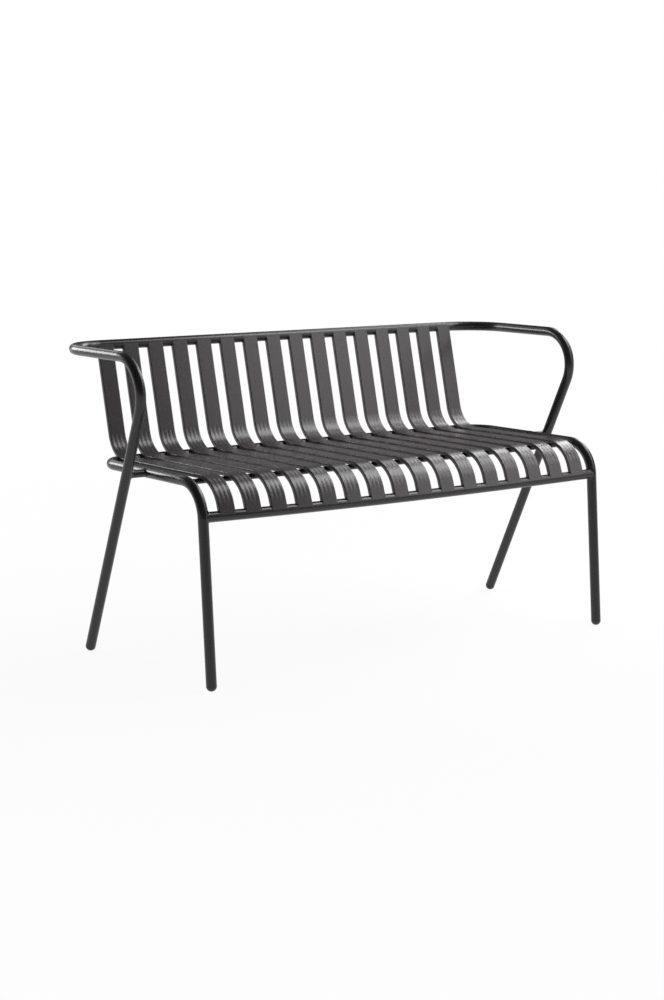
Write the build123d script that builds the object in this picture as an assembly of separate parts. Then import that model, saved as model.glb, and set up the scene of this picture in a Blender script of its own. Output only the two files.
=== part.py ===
from build123d import *
import math
import os

# Patio loveseat of welded aluminium. Millimetres, +Z up, X across the width, open front
# of the seat towards -Y. The origin lies on the ground under the middle of the bounding box.
# A point of a side view is a pair (y, z). Y is measured from the top rail's axis in the sizes
# below, and the whole part is then moved so that its bounding box is centred.

# Round tube of the two bent frames and of the front cross bar
tube_diameter = 25
tube_wall = 2

# Arm frame: one tube that makes both rear legs, both arms and the top rail. The arms stand
# outside the seat's sides by the overhang, and the rear feet inside the arms by the inset
arm_overhang = 65.5
rail_height = 739
rail_corner_radius = 112
arm_reach = 448.5
arm_front_height = 746
arm_bend_radius = 87.5
rear_foot_inset = 19
rear_foot_reach = 113

# Seat frame: one tube that makes both front legs, both seat sides and the rear cross bar.
# The side margin runs from the middle of an end slat to the axis of the side beside it
seat_side_margin = 60
seat_reach = 559
seat_front_height = 472
seat_corner_radius = 71
seat_bend_radius = 83
front_foot_reach = 600
# place of the rear cross bar round the slats' rear bend, turned down from straight behind it
rear_bar_angle = 61

# Front cross bar, which hangs in a shallow arc between the front legs
front_bar_height = 396.5
front_bar_sag = 5.2

# Middle cross bar, a thin tube under the slats, at a reach along the seat from their corner
mid_bar_diameter = 13
mid_bar_wall = 1.5
mid_bar_reach = 396

# The arcs of both cross bars are drawn in equal spans
bar_spans = 8

# Stub tubes that tie each rear leg to the seat side beside it
stub_diameter = 19
stub_wall = 2

# Slats: flat oblong tube, one bent slat from the top rail to the front bar
slat_count = 16
slat_pitch = 71
slat_width = 43
slat_thickness = 10
slat_wall = 1.5
slat_edge_radius = 1.2
slat_corner_reach = 83.5
slat_corner_height = 471.5
slat_rear_radius = 71
slat_nose_height = 484.5
slat_nose_radius = 87
slat_drop_angle = 20

# Foot glides, pressed into the open lower ends of the legs
glide_flat_depth = 0.8
glide_stem_length = 22

# Clearances: at a weld, between the middle bar's arc and the slats' level undersides, at the end
# slats' copes over the seat frame's corners, round a glide's stem
weld_gap = 0.15
mid_bar_gap = 0.45
corner_cope_gap = 0.1
glide_fit_gap = 0.2

tube_radius = tube_diameter / 2
mid_bar_radius = mid_bar_diameter / 2
stub_radius = stub_diameter / 2
foot_axis_height = tube_radius - glide_flat_depth
rail_y = front_foot_reach / 2


# Plane geometry of the side view


def add(a, b, scale=1):
    return tuple(i + j * scale for i, j in zip(a, b))


def unit(a):
    size = math.hypot(*a)
    return tuple(i / size for i in a)


def toward(a, b):
    return unit(add(b, a, -1))


def at(x, point):
    return (x, point[0] + rail_y, point[1])


def meet(p, u, q, v):
    # crossing of the line through p along u with the line through q along v
    across = u[0] * v[1] - u[1] * v[0]
    offset = add(q, p, -1)
    return add(p, u, (offset[0] * v[1] - offset[1] * v[0]) / across)


def rounded_path(points, radii):
    # straight runs joined by tangent arcs, one radius for each inner corner
    edges = []
    start = points[0]
    for before, corner, after, radius in zip(points, points[1:], points[2:], radii):
        u = toward(corner, before)
        v = toward(corner, after)
        half = math.acos(sum(i * j for i, j in zip(u, v))) / 2
        setback = radius / math.tan(half)
        arc_in = add(corner, u, setback)
        arc_out = add(corner, v, setback)
        arc_mid = add(corner, unit(add(u, v)), radius / math.sin(half) - radius)
        edges.append(Edge.make_line(start, arc_in))
        edges.append(Edge.make_three_point_arc(arc_in, arc_mid, arc_out))
        start = arc_out
    edges.append(Edge.make_line(start, points[-1]))
    return Wire(edges)


def swept(path, section):
    return sweep(sections=Plane(origin=path @ 0, z_dir=path % 0) * section, path=path)


def tube_solid(path, radius, wall):
    return swept(path, Circle(radius) - Circle(radius - wall))


def cope_cutter(path, radius, gap):
    return swept(path, Circle(radius + gap))


# Side view of the slats' upper face, which starts flush with the front of the rail
rail = (0, rail_height)
corner = (-slat_corner_reach, slat_corner_height)
corner_to_rail = math.dist(corner, rail)
back_turn = math.asin(tube_radius / corner_to_rail)
back_angle = math.atan2(rail[1] - corner[1], rail[0] - corner[0]) + back_turn
back_up = (math.cos(back_angle), math.sin(back_angle))
top_end = add(corner, back_up, math.sqrt(corner_to_rail ** 2 - tube_radius ** 2))

# Front leg and the front bar's ends on its axis
seat_front = (-seat_reach, seat_front_height)
front_foot = (-front_foot_reach, foot_axis_height)
leg_down = toward(seat_front, front_foot)
front_bar_end = add(seat_front, leg_down, (front_bar_height - seat_front_height) / leg_down[1])

# The drop's face lies flush with the front of the bar. This is the line of a slat at the bar's
# end, and the others follow the arc of the bar
drop = math.radians(slat_drop_angle)
drop_down = (-math.sin(drop), -math.cos(drop))
drop_out = (-math.cos(drop), math.sin(drop))
flush = add(front_bar_end, drop_out, tube_radius)
nose = add(flush, drop_down, (slat_nose_height - flush[1]) / drop_down[1])
seat_ahead = toward(corner, nose)
back_behind = (back_up[1], -back_up[0])
drop_inside = (-drop_out[0], -drop_out[1])
half_thickness = slat_thickness / 2

# All slats share one rear bend, and the rear cross bar nests behind it
bend_in = unit(add(back_up, seat_ahead))
bend_half = math.acos(back_up[0] * seat_ahead[0] + back_up[1] * seat_ahead[1]) / 2
bend_centre = add(corner, bend_in, slat_rear_radius / math.sin(bend_half))
nest = slat_rear_radius + slat_thickness + weld_gap + tube_radius
nest_angle = math.radians(rear_bar_angle)
rear_bar = add(bend_centre, (math.cos(nest_angle), -math.sin(nest_angle)), nest)

# Half widths, from the slats outwards
end_slat_x = (slat_count - 1) / 2 * slat_pitch
seat_x = end_slat_x + seat_side_margin
arm_x = seat_x + arm_overhang
rear_foot_x = arm_x - rear_foot_inset

# Arm frame
rear_foot = (-rear_foot_reach, foot_axis_height)
arm_front = (-arm_reach, arm_front_height)
rear_foot_point = at(rear_foot_x, rear_foot)
arm_corner_point = at(arm_x, arm_front)
rear_leg_up = toward(rear_foot_point, arm_corner_point)


def mirrored(point):
    return (-point[0],) + point[1:]


arm_half = [add(rear_foot_point, rear_leg_up, weld_gap), arm_corner_point, at(arm_x, rail)]
arm_points = [mirrored(p) for p in arm_half] + arm_half[::-1]
arm_radii = [arm_bend_radius, rail_corner_radius, rail_corner_radius, arm_bend_radius]
arm_path = rounded_path(arm_points, arm_radii)
arm_cutter = cope_cutter(arm_path, tube_radius, weld_gap)

# Seat frame
front_foot_point = at(seat_x, front_foot)
seat_corner_point = at(seat_x, seat_front)
front_leg_up = toward(front_foot_point, seat_corner_point)
seat_half = [add(front_foot_point, front_leg_up, weld_gap), seat_corner_point, at(seat_x, rear_bar)]
seat_points = [mirrored(p) for p in seat_half] + seat_half[::-1]
seat_radii = [seat_bend_radius, seat_corner_radius, seat_corner_radius, seat_bend_radius]
seat_path = rounded_path(seat_points, seat_radii)
seat_cutter = cope_cutter(seat_path, tube_radius, weld_gap)
corner_cutter = cope_cutter(seat_path, tube_radius, corner_cope_gap)
corner_start = seat_x - seat_corner_radius

parts = {}
parts["arm_frame"] = tube_solid(arm_path, tube_radius, tube_wall)
parts["seat_frame"] = tube_solid(seat_path, tube_radius, tube_wall)


def arc_drop(x, sag):
    # how far an arc between the seat sides hangs at x, with the given sag in the middle
    radius = (seat_x ** 2 + sag ** 2) / (2 * sag)
    return sag - radius + math.sqrt(radius ** 2 - x ** 2)


def bar_arc(x_start, x_end, end_point, down, sag):
    places = (x_start, (x_start + x_end) / 2, x_end)
    points = [at(x, add(end_point, down, arc_drop(x, sag))) for x in places]
    return Edge.make_three_point_arc(*points)


def bar_path(end_point, down, sag):
    ends = [seat_x * (2 * span / bar_spans - 1) for span in range(bar_spans + 1)]
    return Wire([bar_arc(start, end, end_point, down, sag) for start, end in zip(ends, ends[1:])])


# Front cross bar, an arc in the plane of the slats' drop, coped onto both front legs
front_path = bar_path(front_bar_end, drop_down, front_bar_sag)
front_arc = Wire([bar_arc(-seat_x, seat_x, front_bar_end, drop_down, front_bar_sag)])
front_cutter = cope_cutter(front_arc, tube_radius, weld_gap)
parts["front_bar"] = tube_solid(front_path, tube_radius, tube_wall) - seat_cutter


def slat_seat(x):
    # a slat's flat run leaves the shared rear bend on a tangent to its own nose
    slat_nose = add(nose, drop_down, arc_drop(x, front_bar_sag))
    to_bend = add(bend_centre, slat_nose, -1)
    rise = math.atan2(to_bend[1], to_bend[0]) - math.asin(slat_rear_radius / math.hypot(*to_bend))
    ahead = (-math.cos(rise), -math.sin(rise))
    under = (math.sin(rise), -math.cos(rise))
    return slat_nose, ahead, under


def mid_bar_axis(x):
    # place of the middle cross bar's axis against the underside of a slat at x
    slat_nose, ahead, under = slat_seat(x)
    slat_corner = meet(corner, back_up, slat_nose, ahead)
    touch = add(slat_corner, ahead, mid_bar_reach)
    return add(touch, under, slat_thickness + mid_bar_gap + mid_bar_radius)


# Middle cross bar, an arc along the slats' undersides, coped onto both seat sides
mid_bar_end = mid_bar_axis(seat_x)
mid_bar_middle = mid_bar_axis(0)
mid_bar_down = toward(mid_bar_end, mid_bar_middle)
mid_path = bar_path(mid_bar_end, mid_bar_down, math.dist(mid_bar_end, mid_bar_middle))
parts["mid_bar"] = tube_solid(mid_path, mid_bar_radius, mid_bar_wall) - seat_cutter

# Stub tubes, where the rear leg and the seat side cross in the side view
side_back = toward(seat_front, rear_bar)
leg_side = toward(rear_foot, arm_front)
stub_centre = meet(rear_foot, leg_side, rear_bar, side_back)
leg_share = (stub_centre[1] - rear_foot[1]) / (arm_front[1] - rear_foot[1])
stub_leg_x = rear_foot_x + (arm_x - rear_foot_x) * leg_share
for side, name in ((-1, "stub_left"), (1, "stub_right")):
    stub_path = Wire([Edge.make_line(at(side * seat_x, stub_centre), at(side * stub_leg_x, stub_centre))])
    parts[name] = tube_solid(stub_path, stub_radius, stub_wall) - seat_cutter - arm_cutter

# Slats, numbered from the left end. Each is coped onto the rail and onto the front bar, and one
# that reaches over a rear corner of the seat frame is coped there too
skin_section = RectangleRounded(slat_width, slat_thickness, slat_edge_radius)
core_section = Rectangle(slat_width - 2 * slat_wall, slat_thickness - 2 * slat_wall)


def slat_path(x):
    # centre line, half the thickness below and behind the face
    slat_nose, ahead, under = slat_seat(x)
    seat_mid = add(slat_nose, under, half_thickness)
    drop_mid = add(flush, drop_inside, half_thickness)
    top = add(top_end, back_behind, half_thickness)
    rear = meet(top, back_up, seat_mid, ahead)
    front = meet(drop_mid, drop_down, seat_mid, ahead)
    end = add(drop_mid, drop_down, arc_drop(x, front_bar_sag))
    radii = [slat_rear_radius + half_thickness, slat_nose_radius - half_thickness]
    return rounded_path([at(x, point) for point in (top, rear, front, end)], radii)


for number in range(slat_count):
    x = number * slat_pitch - end_slat_x
    path = slat_path(x)
    plane = Plane(origin=path @ 0, x_dir=(1, 0, 0), z_dir=path % 0)
    skin = sweep(sections=plane * skin_section, path=path)
    core = sweep(sections=plane * core_section, path=path)
    slat = skin - core - arm_cutter - front_cutter
    if abs(x) + slat_width / 2 > corner_start:
        slat = slat - corner_cutter
    parts[f"slat_{number + 1:02d}"] = slat

# Foot glides: a dome the size of the tube, cut flat where it stands, with a stem up the bore
stem_radius = tube_radius - tube_wall - glide_fit_gap
stem_align = (Align.CENTER, Align.CENTER, Align.MIN)
dome_align = (Align.CENTER, Align.CENTER, Align.MAX)
feet = {"rear": (rear_foot_point, rear_leg_up), "front": (front_foot_point, front_leg_up)}
for place, (point, up) in feet.items():
    foot_plane = Plane(origin=point, x_dir=(0, up[2], -up[1]), z_dir=up)
    dome = Sphere(tube_radius, arc_size1=-90, arc_size2=0, align=dome_align)
    stem = Cylinder(stem_radius, glide_stem_length, align=stem_align)
    glide = split(foot_plane * (dome + stem), bisect_by=Plane.XY, keep=Keep.TOP)
    parts[f"glide_{place}_right"] = glide
    parts[f"glide_{place}_left"] = mirror(glide, about=Plane.YZ)

os.makedirs("parts", exist_ok=True)
for name, shape in parts.items():
    export_step(shape, f"parts/{name}.step")

whole = Compound(children=[s for shape in parts.values() for s in shape.solids()]).bounding_box()
volume = sum(shape.volume for shape in parts.values())
print("box", whole.min, whole.max, "size", whole.size)
print("volume", volume)
print("back lean", math.degrees(math.atan2(back_up[0], back_up[1])))
print("seat slope", math.degrees(math.atan2(seat_ahead[1], -seat_ahead[0])))
print("rear bar", rear_bar, "mid bar", mid_bar_end, mid_bar_middle, "front bar", front_bar_end)
print("nose", nose, "stub", stub_centre, stub_leg_x)
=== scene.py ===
"""Patio loveseat: the dressed model, its studio and its camera.

Sizes are in millimetres, as on the drawing, and become metres in the meshes. The studio's lamps and
floor are in metres. A point of a side view is a pair (y, z), with y measured from the top rail.
"""

import math

import bpy
from mathutils import Matrix, Vector


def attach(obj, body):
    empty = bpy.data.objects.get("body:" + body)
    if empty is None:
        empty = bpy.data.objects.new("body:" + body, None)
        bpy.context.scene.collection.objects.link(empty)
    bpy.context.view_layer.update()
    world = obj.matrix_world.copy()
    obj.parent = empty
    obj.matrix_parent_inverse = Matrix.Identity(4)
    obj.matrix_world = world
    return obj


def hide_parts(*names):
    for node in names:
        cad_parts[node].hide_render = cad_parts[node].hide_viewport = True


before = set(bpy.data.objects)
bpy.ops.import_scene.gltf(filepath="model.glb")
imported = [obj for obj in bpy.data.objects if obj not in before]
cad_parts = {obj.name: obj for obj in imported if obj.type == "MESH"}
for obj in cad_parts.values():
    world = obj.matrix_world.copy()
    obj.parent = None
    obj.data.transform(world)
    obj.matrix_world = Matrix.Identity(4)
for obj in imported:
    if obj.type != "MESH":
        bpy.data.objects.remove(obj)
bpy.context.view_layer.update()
MM = 0.001

# Sizes of the CAD model that the dressed pieces follow
TUBE_RADIUS = 12.5
RAIL_HEIGHT = 739
FRONT_FOOT_REACH = 600
FOOT_AXIS_HEIGHT = 11.7
SEAT_X = 592.5
SEAT_REACH = 559
SEAT_FRONT_HEIGHT = 472
FRONT_BAR_HEIGHT = 396.5
FRONT_BAR_SAG = 5.2
SLAT_COUNT = 16
SLAT_PITCH = 71
SLAT_WIDTH = 43
SLAT_THICKNESS = 10
SLAT_CORNER = (-83.5, 471.5)
SLAT_REAR_RADIUS = 71
SLAT_NOSE_HEIGHT = 484.5
SLAT_NOSE_RADIUS = 87
SLAT_DROP_ANGLE = 20
STUB_RADIUS = 9.5
STUB_AXIS = (-321.013, 466.972)
STUB_LEG_X = 650.78
SEAT_SIDE_DIRECTION = (466.61, 9.86)
REAR_LEG_DIRECTION = (-335.5, 734.3)
RAIL_Y = FRONT_FOOT_REACH / 2

# Details that only the dressed pieces have
EDGE_RADIUS = 1.6
EDGE_STEPS = 4
FACE_STEPS = 36
ARC_STEPS = 26
FLUTE_PLACES = (-11.5, 0, 11.5)
FLUTE_WIDTH = 3.2
FLUTE_DEPTH = 0.22
FLUTE_RUN_IN = 5
FACE_PROUD = 0.05
STUB_FILLET = 4.5
BAR_FILLET = 4
FILLET_STEPS = 8
RING_STEPS = 64
BEAD_ROOT = 0.6
# A weld bead loses this share at the sides of its tube, less of it the thinner the tube is
BEAD_LOSS = 0.8
BEAD_SIDE_POWER = 4
BEAD_THIN_POWER = 6
SHARP_ANGLE = math.radians(40)


def add(a, b, scale=1.0):
    return (a[0] + b[0] * scale, a[1] + b[1] * scale)


def unit(a):
    size = math.hypot(*a)
    return (a[0] / size, a[1] / size)


def toward(a, b):
    return unit(add(b, a, -1))


def meet(p, u, q, v):
    """Where the line through p along u meets the line through q along v."""
    across = u[0] * v[1] - u[1] * v[0]
    offset = add(q, p, -1)
    return add(p, u, (offset[0] * v[1] - offset[1] * v[0]) / across)


def metres(x, point):
    """A point of the side view at x, as a place in the scene."""
    return Vector((x, point[0] + RAIL_Y, point[1])) * MM


# Side view of the slat's face, worked out as the CAD model does
rail = (0, RAIL_HEIGHT)
corner_to_rail = math.dist(SLAT_CORNER, rail)
back_turn = math.asin(TUBE_RADIUS / corner_to_rail)
back_angle = math.atan2(rail[1] - SLAT_CORNER[1], rail[0] - SLAT_CORNER[0]) + back_turn
back_up = (math.cos(back_angle), math.sin(back_angle))
top_end = add(SLAT_CORNER, back_up, math.sqrt(corner_to_rail ** 2 - TUBE_RADIUS ** 2))
seat_front = (-SEAT_REACH, SEAT_FRONT_HEIGHT)
front_foot = (-FRONT_FOOT_REACH, FOOT_AXIS_HEIGHT)
leg_down = toward(seat_front, front_foot)
bar_end = add(seat_front, leg_down, (FRONT_BAR_HEIGHT - SEAT_FRONT_HEIGHT) / leg_down[1])
drop = math.radians(SLAT_DROP_ANGLE)
drop_down = (-math.sin(drop), -math.cos(drop))
drop_out = (-math.cos(drop), math.sin(drop))
flush = add(bar_end, drop_out, TUBE_RADIUS)
nose = add(flush, drop_down, (SLAT_NOSE_HEIGHT - flush[1]) / drop_down[1])
bend_in = unit(add(back_up, toward(SLAT_CORNER, nose)))
bend_half = math.acos(sum(i * j for i, j in zip(back_up, toward(SLAT_CORNER, nose)))) / 2
bend_centre = add(SLAT_CORNER, bend_in, SLAT_REAR_RADIUS / math.sin(bend_half))
bar_radius = (SEAT_X ** 2 + FRONT_BAR_SAG ** 2) / (2 * FRONT_BAR_SAG)


def bar_sag(x):
    """How far the front bar's arc hangs below its ends at x."""
    return FRONT_BAR_SAG - bar_radius + math.sqrt(bar_radius ** 2 - x ** 2)


def slat_stations(x):
    """Places down the slat's face, each as (point, direction, share of the flutes that it has)."""
    end = add(flush, drop_down, bar_sag(x))
    slat_nose = add(nose, drop_down, bar_sag(x))
    to_bend = add(bend_centre, slat_nose, -1)
    rise = math.atan2(to_bend[1], to_bend[0]) - math.asin(SLAT_REAR_RADIUS / math.hypot(*to_bend))
    slat_corner = meet(top_end, back_up, slat_nose, (math.cos(rise), math.sin(rise)))
    points = (top_end, slat_corner, slat_nose, end)
    stations = []
    start = top_end
    radii = (SLAT_REAR_RADIUS, SLAT_NOSE_RADIUS)
    for before, corner, after, radius in zip(points, points[1:], points[2:], radii):
        u, v = toward(corner, before), toward(corner, after)
        half = math.acos(u[0] * v[0] + u[1] * v[1]) / 2
        arc_in = add(corner, u, radius / math.tan(half))
        centre = add(corner, unit(add(u, v)), radius / math.sin(half))
        ahead = (-u[0], -u[1])
        stations.append((start, ahead, 0.0))
        stations.append((add(arc_in, u, FLUTE_RUN_IN), ahead, 0.0))
        turn = math.pi - 2 * half
        side = ahead[0] * v[1] - ahead[1] * v[0]
        spoke = add(arc_in, centre, -1)
        for step in range(ARC_STEPS + 1):
            angle = math.copysign(turn * step / ARC_STEPS, side)
            c, s = math.cos(angle), math.sin(angle)
            point = add(centre, (spoke[0] * c - spoke[1] * s, spoke[0] * s + spoke[1] * c))
            ahead_here = (ahead[0] * c - ahead[1] * s, ahead[0] * s + ahead[1] * c)
            near_end = min(step, ARC_STEPS - step) / ARC_STEPS * turn * radius
            blend = min(1.0, near_end / FLUTE_RUN_IN)
            stations.append((point, ahead_here, blend * blend * (3 - 2 * blend)))
        start = add(corner, v, radius / math.tan(half) + FLUTE_RUN_IN)
    stations.append((start, drop_down, 0.0))
    stations.append((end, drop_down, 0.0))
    return stations


def flute(across):
    """Height of the fluted face at a place across the slat, 0 or less."""
    waves = (math.exp(-((across - place) / FLUTE_WIDTH) ** 2) for place in FLUTE_PLACES)
    return -FLUTE_DEPTH * sum(waves)


def slat_section():
    """The slat's outline, point by point, as (across, out from the face, share of the flutes)."""
    inner = SLAT_WIDTH / 2 - EDGE_RADIUS
    outline = [(-inner + 2 * inner * i / FACE_STEPS, 0.0, 1.0) for i in range(FACE_STEPS + 1)]
    # The face ends where its edge's first step would be, so that edge starts at its second step
    for depth, start, first in ((-EDGE_RADIUS, 90, 1), (EDGE_RADIUS - SLAT_THICKNESS, 0, 0)):
        for step in range(first, EDGE_STEPS + 1):
            angle = math.radians(start - 90 * step / EDGE_STEPS)
            across = inner + EDGE_RADIUS * math.cos(angle)
            outline.append((across, depth + EDGE_RADIUS * math.sin(angle), 0.0))
    face_inside = outline[FACE_STEPS - 1:0:-1]
    back = [(across, -SLAT_THICKNESS - out, 1.0) for across, out, _ in face_inside]
    left = [(-across, out, share) for across, out, share in outline[FACE_STEPS + 1:]]
    return outline + back + left[::-1]


def smooth(mesh):
    """Smooth shading, with the edges beyond SHARP_ANGLE kept sharp."""
    mesh.shade_smooth()
    mesh.set_sharp_from_angle(angle=SHARP_ANGLE)


def mesh_object(name, vertices, faces, material, replaced=None):
    """A piece that rides on root and the CAD's nodes that it replaces."""
    mesh = bpy.data.meshes.new(name)
    mesh.from_pydata([tuple(v) for v in vertices], [], faces)
    mesh.validate()
    mesh.materials.append(material)
    piece = bpy.data.objects.new(name, mesh)
    bpy.context.scene.collection.objects.link(piece)
    smooth(mesh)
    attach(piece, "root")
    if replaced:
        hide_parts(*replaced)


def slat_piece(number, material):
    """One slat with rounded edges and fluted bends, in place of the CAD's slat."""
    x = (number - (SLAT_COUNT - 1) / 2) * SLAT_PITCH
    section = slat_section()
    count = len(section)
    stations = slat_stations(x)
    vertices, faces = [], []
    for point, ahead, fluted in stations:
        out = (ahead[1], -ahead[0])
        for across, depth, share in section:
            dip = flute(across) * fluted * share * (1 if depth > -SLAT_THICKNESS / 2 else -1)
            vertices.append(metres(x + across, add(point, out, depth + dip + FACE_PROUD)))
    last_ring = (len(stations) - 1) * count
    for ring in range(0, last_ring, count):
        for i in range(count):
            j = (i + 1) % count
            faces.append((ring + i, ring + j, ring + count + j, ring + count + i))
    faces.append(tuple(range(count - 1, -1, -1)))
    faces.append(tuple(range(last_ring, last_ring + count)))
    name = f"slat_{number + 1:02d}"
    mesh_object(f"{name}_dressed", vertices, faces, material, [name])


def weld_bead(name, start_x, sign, axis, radius, tube_direction, size, material):
    """A fillet weld round a cross tube along X, where it meets a tube of the side view."""
    along = unit(tube_direction)
    across = (-along[1], along[0])
    vertices, faces = [], []
    for ring in range(RING_STEPS):
        angle = 2 * math.pi * ring / RING_STEPS
        spoke = (math.cos(angle), math.sin(angle))
        side = abs(spoke[0] * across[0] + spoke[1] * across[1])
        loss = BEAD_LOSS * side ** BEAD_SIDE_POWER * (radius / TUBE_RADIUS) ** BEAD_THIN_POWER
        reach = size * (1 - loss)
        profile = []
        for step in range(FILLET_STEPS + 1):
            turn = math.pi / 2 * step / FILLET_STEPS
            profile.append((radius + reach * (1 - math.cos(turn)), reach * (1 - math.sin(turn))))
        profile.append((radius - BEAD_ROOT, -BEAD_ROOT))
        for out, away in profile:
            level = min(out * side, TUBE_RADIUS)
            surface = math.sqrt(TUBE_RADIUS ** 2 - level ** 2)
            vertices.append(metres(start_x + sign * (surface + away), add(axis, spoke, out)))
    count = FILLET_STEPS + 2
    for ring in range(RING_STEPS):
        after = (ring + 1) % RING_STEPS
        for i in range(count):
            j = (i + 1) % count
            face = (ring * count + i, after * count + i, after * count + j, ring * count + j)
            faces.append(face if sign > 0 else face[::-1])
    mesh_object(name, vertices, faces, material)


# Materials

TUBE_COLOUR = (0.021, 0.0170, 0.0172)
SLAT_COLOUR = (0.068, 0.0575, 0.060)
GLIDE_COLOUR = (0.030, 0.030, 0.031)
SATIN = 0.27
MATT = 0.5
FINE_PEEL = 0.1
COARSE_PEEL = 0.4
MOTTLE = {"Scale": 28, "Detail": 4}
TINT_SPREAD = 0.03
ROUGHNESS_SPREAD = 0.03
PEEL = {"Scale": 900, "Detail": 2}
PEEL_DEPTH = 0.05
# Sockets of a mix node that blends colours
MIX_SHARE, MIX_FIRST, MIX_SECOND = 0, 6, 7
MIX_RESULT = 2


def add_node(nodes, kind, inputs):
    """Adds a shader node whose inputs are given by name or number."""
    node = nodes.new(f"ShaderNode{kind}")
    for socket, value in inputs.items():
        node.inputs[socket].default_value = value
    return node


def powder_coat(name, colour, roughness, peel_strength):
    """An even dark colour with faint mottling and a fine orange-peel surface."""
    material = bpy.data.materials.new(name)
    material.use_nodes = True
    nodes, links = material.node_tree.nodes, material.node_tree.links
    shader = nodes["Principled BSDF"]
    place = nodes.new("ShaderNodeTexCoord")
    mottle = add_node(nodes, "TexNoise", MOTTLE)
    tint = add_node(nodes, "Mix", {
        MIX_FIRST: (*[c * (1 - TINT_SPREAD) for c in colour], 1),
        MIX_SECOND: (*[c * (1 + TINT_SPREAD) for c in colour], 1),
    })
    tint.data_type = "RGBA"
    links.new(place.outputs["Object"], mottle.inputs["Vector"])
    links.new(mottle.outputs["Fac"], tint.inputs[MIX_SHARE])
    links.new(tint.outputs[MIX_RESULT], shader.inputs["Base Color"])
    rough = add_node(nodes, "MapRange", {
        "To Min": roughness - ROUGHNESS_SPREAD,
        "To Max": roughness + ROUGHNESS_SPREAD,
    })
    links.new(mottle.outputs["Fac"], rough.inputs["Value"])
    links.new(rough.outputs["Result"], shader.inputs["Roughness"])
    peel = add_node(nodes, "TexNoise", PEEL)
    relief = add_node(nodes, "Bump", {"Strength": peel_strength, "Distance": PEEL_DEPTH * MM})
    links.new(place.outputs["Object"], peel.inputs["Vector"])
    links.new(peel.outputs["Fac"], relief.inputs["Height"])
    links.new(relief.outputs["Normal"], shader.inputs["Normal"])
    return material


tube_paint = powder_coat("tube_paint", TUBE_COLOUR, SATIN, FINE_PEEL)
slat_paint = powder_coat("slat_paint", SLAT_COLOUR, SATIN, FINE_PEEL)
glide_plastic = powder_coat("glide_plastic", GLIDE_COLOUR, MATT, COARSE_PEEL)

for node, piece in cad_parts.items():
    if node.startswith("glide"):
        paint = glide_plastic
    elif node.startswith("slat"):
        paint = slat_paint
    else:
        paint = tube_paint
    for material_slot in piece.material_slots:
        material_slot.material = paint
    smooth(piece.data)

for number in range(SLAT_COUNT):
    slat_piece(number, slat_paint)

for side, hand in ((-1, "left"), (1, "right")):
    weld_bead(f"weld_stub_{hand}_seat", side * SEAT_X, side, STUB_AXIS, STUB_RADIUS,
              SEAT_SIDE_DIRECTION, STUB_FILLET, tube_paint)
    weld_bead(f"weld_stub_{hand}_leg", side * STUB_LEG_X, -side, STUB_AXIS, STUB_RADIUS,
              REAR_LEG_DIRECTION, STUB_FILLET, tube_paint)
    weld_bead(f"weld_bar_{hand}", side * SEAT_X, -side, bar_end, TUBE_RADIUS,
              leg_down, BAR_FILLET, tube_paint)


# Floor, background and light

WHITE = (1, 1, 1, 1)
FLOOR_SIZE = 40
FLOOR_DROP = 0.2    # in millimetres, below the feet
FLOOR_INPUTS = {
    "Base Color": (0.9, 0.9, 0.9, 1),
    "Roughness": 0.9,
    "Specular IOR Level": 0.1,
}
# Share of the plain white on the floor at the bench, and how far off it is all white
WHITE_NEAR = 0.92
WHITE_REACH = 3.5
# Strength of the room's light from the front and from behind, and where one turns into the other
WORLD_FRONT = 0.08
WORLD_BEHIND = 0.14
WORLD_TURN = (-0.1, 0.5)
LAMP_AIM = (0, 0, 0.45)
# Azimuth and elevation in degrees, distance and side of the square in metres, power in watts
LAMPS = {
    "front_right": (44, 20, 2.6, 1.2, 8.5),
    "key_low": (52, 40, 2.8, 1.0, 11),
    "key_high": (68, 55, 3.0, 1.2, 30),
    "side": (102, 30, 2.6, 1.2, 30),
    "side_high": (118, 45, 3.2, 1.2, 10),
    "behind": (-175, 30, 3.2, 1.4, 9),
    "rim_left": (-150, 16, 3.2, 1.0, 34),
}


def white_to_camera(nodes, links, lit, output):
    """Mixes a plain white over what is lit, for what the camera sees and what gloss reflects. The
    white's share grows away from the bench, so that its shadow stays and the floor fades out."""
    path = nodes.new("ShaderNodeLightPath")
    seen = nodes.new("ShaderNodeMath")
    seen.operation = "MAXIMUM"
    links.new(path.outputs["Is Camera Ray"], seen.inputs[0])
    links.new(path.outputs["Is Glossy Ray"], seen.inputs[1])
    place = nodes.new("ShaderNodeTexCoord")
    away = nodes.new("ShaderNodeVectorMath")
    away.operation = "LENGTH"
    links.new(place.outputs["Object"], away.inputs[0])
    amount = add_node(nodes, "MapRange", {"From Max": WHITE_REACH, "To Min": WHITE_NEAR})
    amount.interpolation_type = "SMOOTHSTEP"
    links.new(away.outputs["Value"], amount.inputs["Value"])
    share = nodes.new("ShaderNodeMath")
    share.operation = "MULTIPLY"
    links.new(seen.outputs[0], share.inputs[0])
    links.new(amount.outputs["Result"], share.inputs[1])
    white = add_node(nodes, "Emission", {"Color": WHITE})
    mix = nodes.new("ShaderNodeMixShader")
    links.new(share.outputs[0], mix.inputs[0])
    links.new(lit, mix.inputs[1])
    links.new(white.outputs[0], mix.inputs[2])
    links.new(mix.outputs[0], output)


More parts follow.
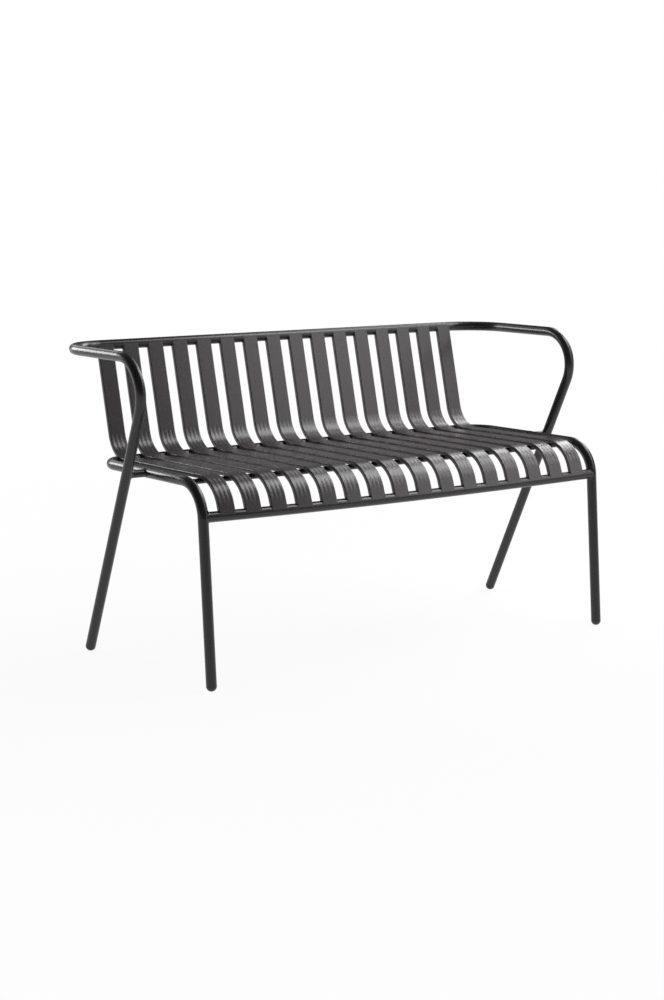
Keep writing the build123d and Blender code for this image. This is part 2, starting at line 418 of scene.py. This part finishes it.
def make_floor():
    """A pale, matt floor just below the feet."""
    bpy.ops.mesh.primitive_plane_add(size=FLOOR_SIZE, location=(0, 0, -FLOOR_DROP * MM))
    floor = bpy.context.object
    floor.name = "floor"
    material = bpy.data.materials.new("floor_white")
    material.use_nodes = True
    nodes, links = material.node_tree.nodes, material.node_tree.links
    shader = nodes["Principled BSDF"]
    for socket, value in FLOOR_INPUTS.items():
        shader.inputs[socket].default_value = value
    white_to_camera(nodes, links, shader.outputs[0], nodes["Material Output"].inputs["Surface"])
    floor.data.materials.append(material)


def make_world():
    """A dim room that lights the bench, seen by the camera as plain white."""
    world = bpy.data.worlds.new("studio")
    bpy.context.scene.world = world
    world.use_nodes = True
    nodes, links = world.node_tree.nodes, world.node_tree.links
    room = nodes["Background"]
    room.inputs["Color"].default_value = WHITE
    place = nodes.new("ShaderNodeTexCoord")
    axes = nodes.new("ShaderNodeSeparateXYZ")
    links.new(place.outputs["Generated"], axes.inputs[0])
    depth = add_node(nodes, "MapRange", {
        "From Min": WORLD_TURN[0],
        "From Max": WORLD_TURN[1],
        "To Min": WORLD_FRONT,
        "To Max": WORLD_BEHIND,
    })
    depth.interpolation_type = "SMOOTHSTEP"
    links.new(axes.outputs["Y"], depth.inputs["Value"])
    links.new(depth.outputs["Result"], room.inputs["Strength"])
    path = nodes.new("ShaderNodeLightPath")
    white = add_node(nodes, "Background", {"Color": WHITE})
    mix = nodes.new("ShaderNodeMixShader")
    links.new(path.outputs["Is Camera Ray"], mix.inputs[0])
    links.new(room.outputs[0], mix.inputs[1])
    links.new(white.outputs[0], mix.inputs[2])
    links.new(mix.outputs[0], nodes["World Output"].inputs["Surface"])


def direction(azimuth, elevation):
    """Unit vector away from the bench. Azimuth 0 is in front and 90 to the right, in degrees."""
    a, e = math.radians(azimuth), math.radians(elevation)
    return Vector((math.sin(a) * math.cos(e), -math.cos(a) * math.cos(e), math.sin(e)))


def lamp(name, azimuth, elevation, distance, size, power):
    """A soft square lamp aimed at the bench."""
    away = direction(azimuth, elevation)
    light = bpy.data.lights.new(name, "AREA")
    light.shape = "SQUARE"
    light.size = size
    light.energy = power
    stand = bpy.data.objects.new(name, light)
    bpy.context.scene.collection.objects.link(stand)
    stand.location = Vector(LAMP_AIM) + away * distance
    stand.rotation_mode = "QUATERNION"
    stand.rotation_quaternion = away.to_track_quat("Z", "Y")


make_floor()
make_world()
for lamp_name, values in LAMPS.items():
    lamp(lamp_name, *values)

# Camera, fitted to the photograph's 664 x 1000 pixels
CAMERA_AZIMUTH = -35.418
CAMERA_ELEVATION = 9.843
CAMERA_ROLL = 0.472
CAMERA_DISTANCE = 5382.442
CAMERA_TARGET = (167.114, 300.0, 283.435)
FOCAL_PIXELS = 1979.551
FRAME_HEIGHT = 1000
SENSOR = 36
CLIP_END = 100

back = direction(CAMERA_AZIMUTH, CAMERA_ELEVATION)
roll = Matrix.Rotation(math.radians(CAMERA_ROLL), 3, back)
right = roll @ direction(CAMERA_AZIMUTH + 90, 0)
up = back.cross(right)
camera_data = bpy.data.cameras.new("camera")
camera_data.sensor_width = SENSOR
camera_data.lens = FOCAL_PIXELS * SENSOR / FRAME_HEIGHT
camera_data.clip_end = CLIP_END
camera = bpy.data.objects.new("camera", camera_data)
bpy.context.scene.collection.objects.link(camera)
camera.rotation_mode = "QUATERNION"
camera.rotation_quaternion = Matrix((right, up, back)).transposed().to_quaternion()
camera.location = (Vector(CAMERA_TARGET) + back * CAMERA_DISTANCE) * MM
bpy.context.scene.camera = camera
bpy.context.scene.view_settings.view_transform = "Standard"
